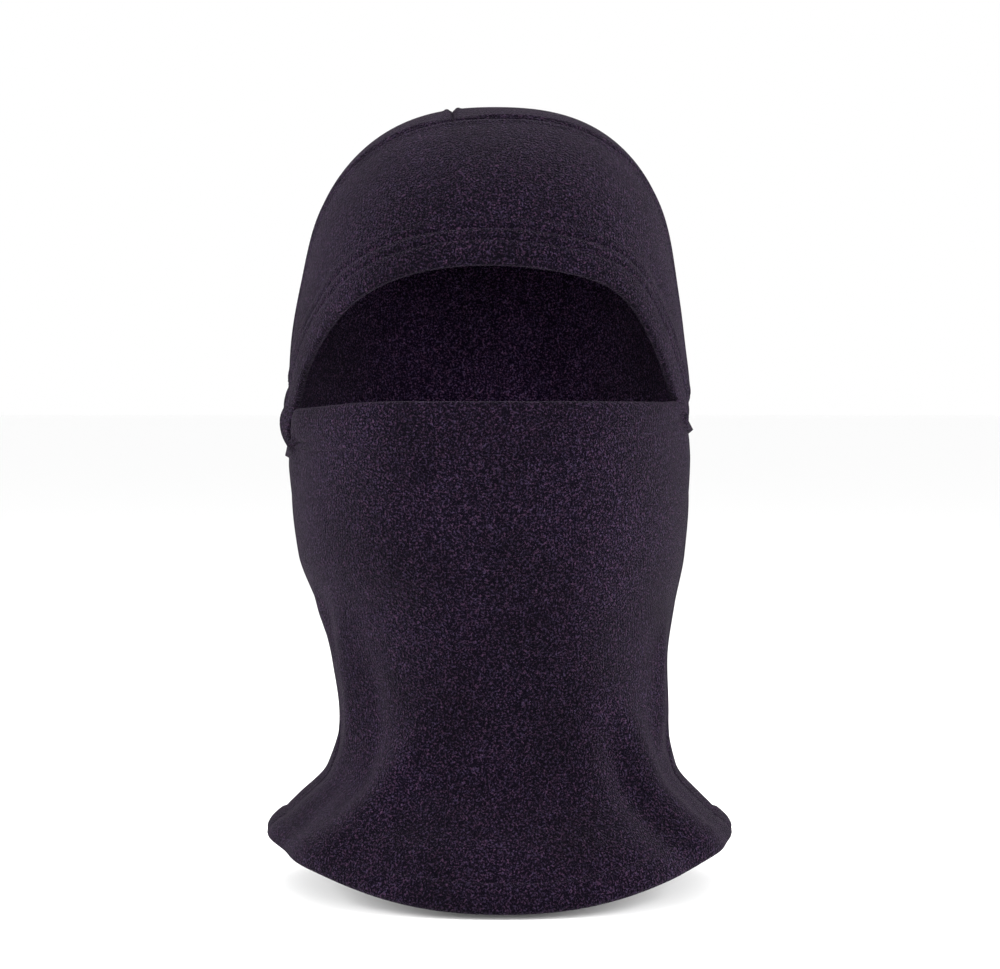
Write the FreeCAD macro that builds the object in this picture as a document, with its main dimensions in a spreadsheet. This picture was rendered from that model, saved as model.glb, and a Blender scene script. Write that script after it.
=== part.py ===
# Fleece balaclava with a mask that pulls down, in millimetres.
# The origin is the inside of the crown, where the wearer's head touches it.
# +Z is up and the face looks along -Y, so heights down the garment are negative.
import FreeCAD
import Part
import Sketcher
import math
import os

doc = FreeCAD.newDocument("balaclava")
sheet = doc.addObject("Spreadsheet::Sheet", "Sheet")

# Body outline: one row for each height down the garment, with the half width, and how far the outer
# face stands in front of and behind the crown's centre.
STATIONS = [
    ("ear", -128, 94, 104, 104),
    ("cheek", -151, 95, 105, 102),
    ("jaw", -180, 94, 104, 94),
    ("chin", -208, 91, 102, 84),
    ("throat", -233, 84, 96, 75),
    ("neck", -258, 79, 91, 70),
    ("nape", -284, 77.5, 88, 68),
    ("collar", -308, 84, 89, 71),
    ("flare", -324, 97, 95, 78),
    ("shoulder", -337, 108, 103, 86),
    ("skirt", -358, 112, 112, 98),
    ("rim", -370, 114, 116, 102),
]
SIZES = [
    # fabric, threads and the gaps between separate bodies
    ("fabric_thickness", 2.0),
    ("thread_height", 0.5),
    ("thread_width", 1.2),
    ("label_thickness", 0.5),
    ("body_gap", 0.4),
    # crown above the ear line
    ("crown_height", 130),
    ("crown_cap_share", 0.1),
    ("crown_roundness", 2.5),
    ("section_roundness", 2.2),
    # brow edge: an arc in side view, from the cheeks up to the forehead
    ("brow_arc_radius", 213),
    ("brow_arc_front", -229),
    ("brow_arc_height", -244),
    ("brow_hem_width", 16),
    ("brow_row_gap", 5.5),
    # mask: its top edge, its hem and the line that it turns about
    ("mask_edge_height", -138),
    ("mask_hem_width", 23),
    ("mask_row_gap", 9),
    ("hinge_height", -152),
    ("mask_reach", 98),
    ("mask_travel", 40),
    ("mask_clearance", 1),
    # seam that runs up each side and over the crown, in front of the ears
    ("side_seam_front", -14),
    ("temple_height", -68),
    ("temple_seam_front", -22),
    ("crown_seam_front", -50),
    ("seam_allowance", 6),
    ("cover_row_offset", 2.6),
    # seam down the middle of the back, a little askew over the crown
    ("back_seam_turn", -9.3),
    ("back_seam_pivot", 100),
    # bottom edge: an arc in side view, higher over the shoulders than at the front and back
    ("bottom_arc_radius", 245),
    ("bottom_arc_front", -8),
    ("bottom_arc_top", -336),
    ("bottom_hem_width", 12),
    # bar tacks at the mask's corners, and the two blank labels
    ("tack_width", 6),
    ("tack_height", 12),
    ("tack_gap", 1.5),
    ("neck_label_width", 30),
    ("neck_label_height", 14),
    ("neck_label_top", -250),
    ("care_label_width", 25),
    ("care_label_height", 40),
    ("care_label_top", -262),
    # anything longer than this reaches past the garment
    ("beyond", 500),
]


def fill_sheet():
    rows = list(SIZES)
    for name, height, half_width, front, back in STATIONS:
        rows.append((name + "_height", height))
        rows.append((name + "_half_width", half_width))
        rows.append((name + "_front", front))
        rows.append((name + "_back", back))
    for line, (alias, value) in enumerate(rows, start=1):
        sheet.set(f"A{line}", alias)
        sheet.set(f"B{line}", str(value))
        sheet.setAlias(f"B{line}", alias)


fill_sheet()
doc.recompute()


def size(alias):
    return float(sheet.get(alias))


def bind(thing, **formulas):
    """Ties properties of an object to formulas; base_x, base_y and base_z are its place."""
    for name, formula in formulas.items():
        path = name.replace("base_", "Placement.Base.") if name.startswith("base_") else name
        thing.setExpression(path, formula)
    return thing


# ---- body form -----------------------------------------------------------------------------

RING_POINTS = 16
DOME_ANGLES = (20, 38, 54, 68, 79)


def ring(name, height, half_width, front, back):
    """A closed outline across the body: a rounded oval, deeper in front than behind or the other way."""
    share = 2 / size("section_roundness")
    points = []
    for step in range(RING_POINTS):
        turn = 2 * math.pi * step / RING_POINTS
        across = math.copysign(abs(math.sin(turn)) ** share, math.sin(turn))
        along = math.copysign(abs(math.cos(turn)) ** share, math.cos(turn))
        depth = front if along > 0 else back
        points.append(FreeCAD.Vector(half_width * across, -depth * along, height))
    curve = Part.BSplineCurve()
    curve.interpolate(Points=points, PeriodicFlag=True)
    outline = doc.addObject("Part::Feature", name)
    outline.Shape = Part.Wire([curve.toShape()])
    return outline


def body_solid(name, offset):
    """The whole body as one solid, its surface moved out by offset from the fabric's outer face."""
    ear = STATIONS[0][0]
    half_width, front, back = (size(f"{ear}_{side}") + offset for side in ("half_width", "front", "back"))
    rise = size("crown_height") + offset
    share = 2 / size("crown_roundness")
    outlines = []
    for row, (station, *_) in enumerate(reversed(STATIONS)):
        sides = (size(f"{station}_{side}") + offset for side in ("half_width", "front", "back"))
        outlines.append(ring(f"{name}_ring_{row}", size(station + "_height"), *sides))
    for row, angle in enumerate(DOME_ANGLES):
        shrink = math.cos(math.radians(angle)) ** share
        height = size(ear + "_height") + rise * math.sin(math.radians(angle)) ** share
        sides = (half_width * shrink, front * shrink, back * shrink)
        outlines.append(ring(f"{name}_dome_{row}", height, *sides))
    cap = size("crown_cap_share")
    top = size(ear + "_height") + rise
    outlines.append(ring(f"{name}_cap", top, half_width * cap, front * cap, back * cap))
    loft = doc.addObject("Part::Loft", name)
    loft.Sections = outlines
    loft.Solid = True
    loft.Ruled = False
    return loft


def cut(name, base, tool):
    result = doc.addObject("Part::Cut", name)
    result.Base = base
    result.Tool = tool
    return result


def common(name, first, *others):
    """What all of the given objects share."""
    result = first
    for number, other in enumerate(others, start=1):
        last = number == len(others)
        step = doc.addObject("Part::Common", name if last else f"{name}_step_{number}")
        step.Base = result
        step.Tool = other
        result = step
    return result


def fuse(name, first, second):
    result = doc.addObject("Part::Fuse", name)
    result.Base = first
    result.Tool = second
    return result


def layer(name, inner, outer):
    return cut(name, outer, inner)


fabric = size("fabric_thickness")
thread = size("thread_height")
label = size("label_thickness")
gap = size("body_gap")

outer_face = body_solid("outer_face", 0)
inner_face = body_solid("inner_face", -fabric)
turning_face = body_solid("turning_face", -2 * fabric)
overlock_face = body_solid("overlock_face", -2 * fabric - thread)
label_face = body_solid("label_face", -2 * fabric - thread - label)
thread_face = body_solid("thread_face", thread)
mask_turning_face = body_solid("mask_turning_face", gap - fabric)
mask_inner_face = body_solid("mask_inner_face", gap)
mask_outer_face = body_solid("mask_outer_face", gap + fabric)
mask_thread_face = body_solid("mask_thread_face", gap + fabric + thread)

fabric_layer = layer("fabric_layer", inner_face, outer_face)
turning_layer = layer("turning_layer", turning_face, inner_face)
overlock_layer = layer("overlock_layer", overlock_face, turning_face)
label_layer = layer("label_layer", label_face, overlock_face)
thread_layer = layer("thread_layer", outer_face, thread_face)
mask_layer = layer("mask_layer", mask_inner_face, mask_outer_face)
mask_turning_layer = layer("mask_turning_layer", mask_turning_face, mask_inner_face)
mask_thread_layer = layer("mask_thread_layer", mask_outer_face, mask_thread_face)

# ---- cutting shapes ------------------------------------------------------------------------

ALONG_X = FreeCAD.Rotation(FreeCAD.Vector(0, 1, 0), 90)
SIDE_VIEW = FreeCAD.Rotation(FreeCAD.Vector(1, 1, 1), 120)


def roller(name, radius, front, height):
    """A cylinder across the body, so a circle in side view."""
    thing = doc.addObject("Part::Cylinder", name)
    thing.Placement.Rotation = ALONG_X
    return bind(
        thing, Radius=radius, Height="2 * Sheet.beyond", base_x="-Sheet.beyond", base_y=front, base_z=height
    )


def block(name, low, high):
    """A box from one corner to the other, each corner given as three formulas."""
    thing = doc.addObject("Part::Box", name)
    for side, place, start, end in zip(("Length", "Width", "Height"), "xyz", low, high):
        bind(thing, **{side: f"({end}) - ({start})", "base_" + place: start})
    return thing


FAR = "Sheet.beyond"


def above(name, height):
    return block(name, (f"-{FAR}", f"-{FAR}", height), (FAR, FAR, FAR))


def below(name, height):
    return block(name, (f"-{FAR}", f"-{FAR}", f"-{FAR}"), (FAR, FAR, height))


# A first guess at the corners in front of the seam, before their formulas place them.
SEAM_CORNERS = [(-400, -400), (-10, -400), (-10, -140), (-20, -70), (-50, 0), (-50, 400), (-400, 400)]


def in_front_of_seam(name, offset):
    """Everything in front of the side and crown seam, moved back by offset."""
    corners = [
        (f"-{FAR}", f"-{FAR}"),
        (f"Sheet.side_seam_front + {offset}", f"-{FAR}"),
        (f"Sheet.side_seam_front + {offset}", "Sheet.mask_edge_height"),
        (f"Sheet.temple_seam_front + {offset}", "Sheet.temple_height"),
        (f"Sheet.crown_seam_front + {offset}", "Sheet.ear_height + Sheet.crown_height"),
        (f"Sheet.crown_seam_front + {offset}", FAR),
        (f"-{FAR}", FAR),
    ]
    sketch = doc.addObject("Sketcher::SketchObject", name + "_sketch")
    sketch.Placement.Rotation = SIDE_VIEW
    for number, place in enumerate(SEAM_CORNERS):
        following = SEAM_CORNERS[(number + 1) % len(SEAM_CORNERS)]
        ends = (FreeCAD.Vector(*place, 0), FreeCAD.Vector(*following, 0))
        sketch.addGeometry(Part.LineSegment(*ends), False)
    for number, (place, formulas) in enumerate(zip(SEAM_CORNERS, corners)):
        before = (number - 1) % len(corners)
        sketch.addConstraint(Sketcher.Constraint("Coincident", before, 2, number, 1))
        for kind, value, formula in zip(("DistanceX", "DistanceY"), place, formulas):
            row = sketch.addConstraint(Sketcher.Constraint(kind, -1, 1, number, 1, value))
            sketch.setExpression(f"Constraints[{row}]", formula)
    prism = doc.addObject("Part::Extrusion", name)
    prism.Base = sketch
    prism.DirMode = "Custom"
    prism.Dir = FreeCAD.Vector(1, 0, 0)
    prism.Symmetric = True
    prism.Solid = True
    return bind(prism, LengthFwd="2 * Sheet.beyond")


in_front = in_front_of_seam("in_front", "0")
behind_allowance = in_front_of_seam("behind_allowance", "Sheet.seam_allowance")
before_allowance = in_front_of_seam("before_allowance", "-Sheet.seam_allowance")
seam_strip = cut("seam_strip", behind_allowance, before_allowance)

brow_roller = roller("brow_roller", "Sheet.brow_arc_radius", "Sheet.brow_arc_front", "Sheet.brow_arc_height")
bottom_roller = roller(
    "bottom_roller", "Sheet.bottom_arc_radius", "Sheet.bottom_arc_front",
    "Sheet.bottom_arc_top - Sheet.bottom_arc_radius",
)


def wider(name, extra, of="brow"):
    """A roller like that of the brow or bottom edge, its radius larger by extra."""
    height = "Sheet.brow_arc_height" if of == "brow" else "Sheet.bottom_arc_top - Sheet.bottom_arc_radius"
    return roller(name, f"Sheet.{of}_arc_radius + {extra}", f"Sheet.{of}_arc_front", height)


def row_at(name, distance, of):
    """A line of stitches at a distance from the brow or bottom edge."""
    outer = wider(name + "_outer", f"{distance} + Sheet.thread_width / 2", of)
    inner = wider(name + "_inner", f"{distance} - Sheet.thread_width / 2", of)
    return cut(name, outer, inner)


# The mask turns about a line through the tops of the side seams. What turns with it stays inside a
# drum about that line, and in front of a slanted face that comes upright as the mask is pulled down.
mask_drum = roller(
    "mask_drum", "Sheet.mask_reach - Sheet.body_gap", "Sheet.side_seam_front", "Sheet.hinge_height"
)
bib_drum = roller("bib_drum", "Sheet.mask_reach", "Sheet.side_seam_front", "Sheet.hinge_height")


def slanted(name, clearance):
    """What stays clear of the side seam's allowance when the mask is pulled right down."""
    thing = doc.addObject("Part::Box", name)
    thing.Placement.Rotation = FreeCAD.Rotation(FreeCAD.Vector(1, 0, 0), 1)
    thing.setExpression("Placement.Rotation.Angle", "-Sheet.mask_travel")
    along = "cos(Sheet.mask_travel * 1 deg)"
    rise = "sin(Sheet.mask_travel * 1 deg)"
    forward = f"(Sheet.seam_allowance + {clearance} + {FAR})"
    return bind(
        thing,
        Length=f"2 * {FAR}",
        Width=FAR,
        Height=f"2 * {FAR}",
        base_x=f"-{FAR}",
        base_y=f"Sheet.side_seam_front - {forward} * {along} - {FAR} * {rise}",
        base_z=f"Sheet.hinge_height + {forward} * {rise} - {FAR} * {along}",
    )


mask_wedge = slanted("mask_wedge", "Sheet.mask_clearance")
cheek_limit = slanted("cheek_limit", "Sheet.body_gap")


def beside_back_seam(name, start, end):
    """An upright slab between two distances from the back seam, turned askew with it."""
    thing = doc.addObject("Part::Box", name)
    along = "cos(Sheet.back_seam_turn * 1 deg)"
    askew = "sin(Sheet.back_seam_turn * 1 deg)"
    thing.setExpression("Placement.Rotation.Angle", "Sheet.back_seam_turn")
    return bind(
        thing,
        Length=f"({end}) - ({start})",
        Width=f"2 * {FAR}",
        Height=f"2 * {FAR}",
        base_x=f"({start}) * {along} + {FAR} * {askew}",
        base_y=f"Sheet.back_seam_pivot + ({start}) * {askew} - {FAR} * {along}",
        base_z=f"-{FAR}",
    )


# ---- fabric panels -------------------------------------------------------------------------


def piece(name, of_layer, *blocks):
    """A piece of one layer of the body: the blocks that bound it are joined first."""
    bounds = blocks[0] if len(blocks) == 1 else common(name + "_bounds", *blocks)
    return common(name, of_layer, bounds)


over_hinge = above("over_hinge", "Sheet.hinge_height")
under_hinge = below("under_hinge", "Sheet.hinge_height - Sheet.body_gap")
over_mask = above("over_mask", "Sheet.mask_edge_height + Sheet.body_gap")
under_mask = below("under_mask", "Sheet.mask_edge_height")
left_side = block("left_side", (f"-{FAR}",) * 3, ("0", FAR, FAR))
right_side = block("right_side", ("0", f"-{FAR}", f"-{FAR}"), (FAR,) * 3)
whole = block("whole", (f"-{FAR}",) * 3, (FAR,) * 3)
left_back = beside_back_seam("left_back", f"-{FAR}", "0")

hood_front = cut("hood_front", common("hood_side", in_front, over_hinge), brow_roller)
lower_front = cut("lower_front", common("mask_side", in_front, under_hinge), bottom_roller)
back = cut("back", cut("behind_seam", whole, in_front), bottom_roller)

brow_panel = piece("brow_panel", fabric_layer, hood_front)
back_left_panel = piece("back_left_panel", fabric_layer, back, left_back)
back_right_panel = piece("back_right_panel", fabric_layer, cut("right_back", back, left_back))

bib_panel = piece("bib_panel", fabric_layer, cut("bib_block", lower_front, bib_drum))
cheeks = cut("cheeks", common("cheek_drum", lower_front, bib_drum), cheek_limit)
left_cheek = piece("left_cheek", fabric_layer, cheeks, left_side)
right_cheek = piece("right_cheek", fabric_layer, cheeks, right_side)

mask_block = common("mask_block", in_front, under_mask, mask_drum, mask_wedge)
mask_panel = piece("mask_panel", mask_layer, mask_block)

# ---- turned edges and seam allowances, on the inside ---------------------------------------

brow_band = wider("brow_band", "Sheet.brow_hem_width")
brow_hem = piece("brow_hem", turning_layer, hood_front, before_allowance, brow_band)

mask_hem_height = above("mask_hem_height", "Sheet.mask_edge_height - Sheet.mask_hem_width")
within_brow = wider("within_brow", "-Sheet.body_gap")
mask_hem = piece("mask_hem", mask_turning_layer, mask_block, mask_hem_height, within_brow)

bottom_band = wider("bottom_band", "Sheet.bottom_hem_width", "bottom")
bottom_edge = cut("bottom_edge", bottom_band, bottom_roller)
front_bottom_hem = piece("front_bottom_hem", turning_layer, bottom_edge, in_front)
back_bottom_hem = piece("back_bottom_hem", turning_layer, cut("back_edge", bottom_edge, in_front))

seam_above_hem = cut("seam_above_hem", seam_strip, bottom_band)
side_strip = cut("side_strip", seam_above_hem, over_hinge)
crown_seam = piece("crown_seam", turning_layer, seam_above_hem, over_hinge)
left_side_seam = piece("left_side_seam", turning_layer, side_strip, left_side)
right_side_seam = piece("right_side_seam", turning_layer, side_strip, right_side)

behind_crown_seam = cut("behind_crown_seam", whole, behind_allowance)
behind_hem = cut("behind_hem", behind_crown_seam, bottom_band)
back_strip = beside_back_seam("back_strip", "-Sheet.seam_allowance", "Sheet.seam_allowance")
back_seam = piece("back_seam", turning_layer, behind_hem, back_strip)

# ---- threads -------------------------------------------------------------------------------

left_overlock = piece("left_overlock", overlock_layer, side_strip, left_side)
right_overlock = piece("right_overlock", overlock_layer, side_strip, right_side)

hood_rows = common("hood_rows", hood_front, over_mask)
upper_row = row_at("brow_upper_row", "Sheet.brow_hem_width", "brow")
brow_upper_stitches = piece("brow_upper_stitches", thread_layer, hood_rows, upper_row)
lower_row = row_at("brow_lower_row", "(Sheet.brow_hem_width - Sheet.brow_row_gap)", "brow")
brow_lower_stitches = piece("brow_lower_stitches", thread_layer, hood_rows, lower_row)


def level_row(name, height):
    """A level line of stitches."""
    start = f"{height} - Sheet.thread_width / 2"
    end = f"{height} + Sheet.thread_width / 2"
    return block(name, (f"-{FAR}", f"-{FAR}", start), (FAR, FAR, end))


hem_line = "Sheet.mask_edge_height - Sheet.mask_hem_width"
lower_line = level_row("mask_lower_row", hem_line)
mask_lower_stitches = piece("mask_lower_stitches", mask_thread_layer, mask_block, lower_line)
upper_line = level_row("mask_upper_row", hem_line + " + Sheet.mask_row_gap")
mask_upper_stitches = piece("mask_upper_stitches", mask_thread_layer, mask_block, upper_line)

hem_row = row_at("hem_row", "Sheet.bottom_hem_width", "bottom")
front_hem_stitches = piece("front_hem_stitches", thread_layer, hem_row, in_front)
back_hem_stitches = piece("back_hem_stitches", thread_layer, cut("back_hem_row", hem_row, in_front))


def seam_row(name, offset):
    """One of the two rows beside the crown seam."""
    further = in_front_of_seam(name + "_back", f"{offset} + Sheet.thread_width / 2")
    nearer = in_front_of_seam(name + "_front", f"{offset} - Sheet.thread_width / 2")
    return cut(name, further, nearer)


crown_front_row = seam_row("crown_front_row", "-Sheet.cover_row_offset")
crown_back_row = seam_row("crown_back_row", "Sheet.cover_row_offset")
crown_rows = fuse("crown_rows", crown_front_row, crown_back_row)
crown_stitches = piece("crown_stitches", thread_layer, crown_rows, over_mask)


def back_row(name, offset):
    """One of the two rows beside the back seam."""
    return beside_back_seam(name, f"{offset} - Sheet.thread_width / 2", f"{offset} + Sheet.thread_width / 2")


over_hem_row = wider("over_hem_row", "Sheet.bottom_hem_width + Sheet.thread_width", "bottom")
behind_rows = cut("behind_rows", behind_crown_seam, over_hem_row)
back_rows = fuse(
    "back_rows",
    back_row("back_left_row", "-Sheet.cover_row_offset"),
    back_row("back_right_row", "Sheet.cover_row_offset"),
)
back_stitches = piece("back_stitches", thread_layer, behind_rows, back_rows)


def bar_tack(name, low_x, high_x):
    """A bar of close stitches over the seam, just behind the mask's corner."""
    front = "Sheet.side_seam_front + Sheet.tack_gap"
    low = (low_x, front, "Sheet.hinge_height - Sheet.tack_height / 2")
    high = (high_x, front + " + Sheet.tack_width", "Sheet.hinge_height + Sheet.tack_height / 2")
    return piece(name, thread_layer, block(name + "_block", low, high))


left_bar_tack = bar_tack("left_bar_tack", f"-{FAR}", "0")
right_bar_tack = bar_tack("right_bar_tack", "0", FAR)

# ---- labels, both blank --------------------------------------------------------------------

neck_label_low = ("-Sheet.neck_label_width / 2", "0", "Sheet.neck_label_top - Sheet.neck_label_height")
neck_label_high = ("Sheet.neck_label_width / 2", FAR, "Sheet.neck_label_top")
neck_label = piece("neck_label", label_layer, block("neck_label_block", neck_label_low, neck_label_high))

care_label_low = (f"-{FAR}", "Sheet.side_seam_front", "Sheet.care_label_top - Sheet.care_label_height")
care_label_high = ("0", "Sheet.side_seam_front + Sheet.care_label_width", "Sheet.care_label_top")
care_label = piece("care_label", label_layer, block("care_label_block", care_label_low, care_label_high))

PIECES = [
    brow_panel, back_left_panel, back_right_panel, bib_panel, left_cheek, right_cheek, mask_panel,
    brow_hem, mask_hem, front_bottom_hem, back_bottom_hem,
    crown_seam, back_seam, left_side_seam, right_side_seam, left_overlock, right_overlock,
    brow_upper_stitches, brow_lower_stitches, mask_upper_stitches, mask_lower_stitches,
    front_hem_stitches, back_hem_stitches, crown_stitches, back_stitches,
    left_bar_tack, right_bar_tack, neck_label, care_label,
]

doc.recompute()
for thing in doc.Objects:
    if "Invalid" in thing.State or "Error" in thing.State:
        raise RuntimeError(f"{thing.Name} did not build: {thing.State}")
for solid in PIECES:
    if solid.Shape.isNull() or not solid.Shape.isValid() or solid.Shape.Volume <= 0:
        raise RuntimeError(f"{solid.Name} has no valid shape")
os.makedirs("parts", exist_ok=True)
for solid in PIECES:
    solid.Label = solid.Name
    solid.Shape.exportStep(f"parts/{solid.Label}.step")
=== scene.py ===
import math

import bpy
import numpy as np
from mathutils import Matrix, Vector


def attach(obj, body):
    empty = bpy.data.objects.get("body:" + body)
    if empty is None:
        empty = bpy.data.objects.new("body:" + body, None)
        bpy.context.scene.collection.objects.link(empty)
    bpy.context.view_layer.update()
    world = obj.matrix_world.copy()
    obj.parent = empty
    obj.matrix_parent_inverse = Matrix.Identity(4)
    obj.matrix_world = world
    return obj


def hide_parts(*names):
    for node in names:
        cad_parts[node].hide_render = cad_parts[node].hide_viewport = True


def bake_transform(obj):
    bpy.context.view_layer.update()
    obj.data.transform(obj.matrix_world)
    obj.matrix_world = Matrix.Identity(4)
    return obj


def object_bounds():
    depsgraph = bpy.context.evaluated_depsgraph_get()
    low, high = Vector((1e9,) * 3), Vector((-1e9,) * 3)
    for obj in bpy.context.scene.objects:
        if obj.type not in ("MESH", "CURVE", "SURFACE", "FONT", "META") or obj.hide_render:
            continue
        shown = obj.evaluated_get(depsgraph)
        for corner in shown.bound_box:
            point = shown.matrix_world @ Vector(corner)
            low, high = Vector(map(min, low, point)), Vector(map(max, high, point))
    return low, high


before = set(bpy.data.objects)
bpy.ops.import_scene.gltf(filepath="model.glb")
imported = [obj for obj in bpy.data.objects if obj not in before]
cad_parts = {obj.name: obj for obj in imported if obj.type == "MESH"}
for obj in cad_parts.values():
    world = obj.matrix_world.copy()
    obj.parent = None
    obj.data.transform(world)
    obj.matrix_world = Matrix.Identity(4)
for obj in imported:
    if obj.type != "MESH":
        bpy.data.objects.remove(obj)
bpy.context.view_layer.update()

MM = 0.001

# ---- Brow panel ------------------------------------------------------------------------------
# The front of the hood, a piece of stretch fleece from the brow opening back to the seam over the
# crown. Its opening edge is turned inside once and held down by two rows of stitching.

# The head shape that the fabric is stretched over, in mm: one row for each height below the crown's
# centre, with the half width, the depth in front and behind, and how far it leans to the side.
OUTLINE = np.array([
    (-374, 116, 117, 103, 6.5),
    (-358, 114, 112, 98, 6.5),
    (-345, 112.5, 107, 91, 6),
    (-337, 110.4, 103, 86, 5.5),
    (-324, 97.2, 95, 78, 5.5),
    (-308, 82.6, 89, 71, 6.5),
    (-284, 77.2, 88, 68, 7.6),
    (-258, 78.6, 91, 70, 5.6),
    (-233, 83.4, 96, 75, 3.9),
    (-208, 90.4, 102, 84, 1.7),
    (-180, 92.9, 104, 94, 1.1),
    (-163, 91.7, 105, 99, 0.8),
    (-151, 92.2, 105, 102, -0.2),
    (-128, 92.8, 104, 104, -0.3),
])
EAR_HEIGHT = -128
CROWN_HEIGHT = 129.2
CROWN_ROUNDNESS = 2.58
SECTION_ROUNDNESS = 2.2
CROWN_LEAN = 3.8
FABRIC = 1.9
OUTER_LAYER = -1.0
FOLD_RADIUS = 1.05


def eased(knots, values, x):
    """A smooth line through the values that never overshoots them."""
    gap = np.diff(knots)
    slope = np.diff(values) / gap
    tangent = np.zeros_like(values)
    before, after = slope[:-1], slope[1:]
    same_way = before * after > 0
    total = np.where(same_way, before + after, 1)
    tangent[1:-1] = np.where(same_way, 2 * before * after / total, 0)
    tangent[0], tangent[-1] = slope[0], slope[-1]
    i = np.clip(np.searchsorted(knots, x) - 1, 0, len(gap) - 1)
    t = np.clip((x - knots[i]) / gap[i], 0, 1)
    start = values[i] * (1 + 2 * t) * (1 - t) ** 2 + gap[i] * tangent[i] * t * (1 - t) ** 2
    return start + values[i + 1] * t * t * (3 - 2 * t) - gap[i] * tangent[i + 1] * t * t * (1 - t)


def outline_at(height):
    """Half width, front depth, back depth and lean of the head shape at a height."""
    low = np.minimum(height, EAR_HEIGHT)
    return [eased(OUTLINE[:, 0], OUTLINE[:, column], low) for column in range(1, 5)]


def on_form(points):
    """Moves points straight out from the head's middle, or from the neck's axis, onto the form."""
    x, y, z = np.moveaxis(np.asarray(points, float), -1, 0)
    half_width, front, back, lean = outline_at(z)
    depth = np.where(y < 0, front, back)
    oval = (np.abs(x / half_width) ** SECTION_ROUNDNESS + np.abs(y / depth) ** SECTION_ROUNDNESS) ** (
        1 / SECTION_ROUNDNESS)
    rise = np.maximum(z - EAR_HEIGHT, 0) / CROWN_HEIGHT
    out = 1 / np.maximum((oval ** CROWN_ROUNDNESS + rise ** CROWN_ROUNDNESS) ** (1 / CROWN_ROUNDNESS), 1e-6)
    height = np.where(z > EAR_HEIGHT, EAR_HEIGHT + (z - EAR_HEIGHT) * out, z)
    lean = lean + CROWN_LEAN * np.clip((height - EAR_HEIGHT) / CROWN_HEIGHT, 0, 1) ** 1.5
    return np.stack([x * out + lean, y * out, height], axis=-1)


def smooth_step(low, high, x):
    t = np.clip((x - low) / (high - low), 0, 1)
    return t * t * (3 - 2 * t)


def hump(centre, width, x):
    """A soft ridge across x, 1 high at its centre."""
    return np.exp(-((x - centre) / width) ** 2)


def facing_out(grid):
    """Unit normals of a grid whose columns run left to right and whose rows run down."""
    across = np.gradient(grid, axis=1)
    down = np.gradient(grid, axis=0)
    normal = np.cross(down, across)
    return normal / np.maximum(np.linalg.norm(normal, axis=-1, keepdims=True), 1e-9)


def spaced(line, count):
    """The line again, as count points the same distance apart."""
    steps = np.linalg.norm(np.diff(line, axis=0), axis=1)
    length = np.concatenate([[0], np.cumsum(steps)])
    places = np.linspace(0, length[-1], count)
    return np.stack([np.interp(places, length, line[:, k]) for k in range(3)], axis=-1)


def down_from_first(grid):
    """How far along the fabric each point lies from the first row."""
    steps = np.linalg.norm(np.diff(grid, axis=0), axis=-1)
    return np.concatenate([np.zeros((1, grid.shape[1])), np.cumsum(steps, axis=0)])


def across_from_first(grid):
    """How far along the fabric each point lies from the first column."""
    return down_from_first(np.swapaxes(grid, 0, 1)).T


def swung(start, end, shares):
    """Guide points from start to end, swung round the head's middle: one row of points for each share."""
    middle = np.array([0.0, 0.0, EAR_HEIGHT])
    a, b = start - middle, end - middle
    reach_a = np.linalg.norm(a, axis=-1, keepdims=True)
    reach_b = np.linalg.norm(b, axis=-1, keepdims=True)
    a, b = a / reach_a, b / reach_b
    angle = np.arccos(np.clip((a * b).sum(-1, keepdims=True), -1, 1))
    angle = np.maximum(angle, 1e-4)
    share = shares[..., None]
    turned = (np.sin((1 - share) * angle) * a + np.sin(share * angle) * b) / np.sin(angle)
    return middle + turned * ((1 - share) * reach_a + share * reach_b)


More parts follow.
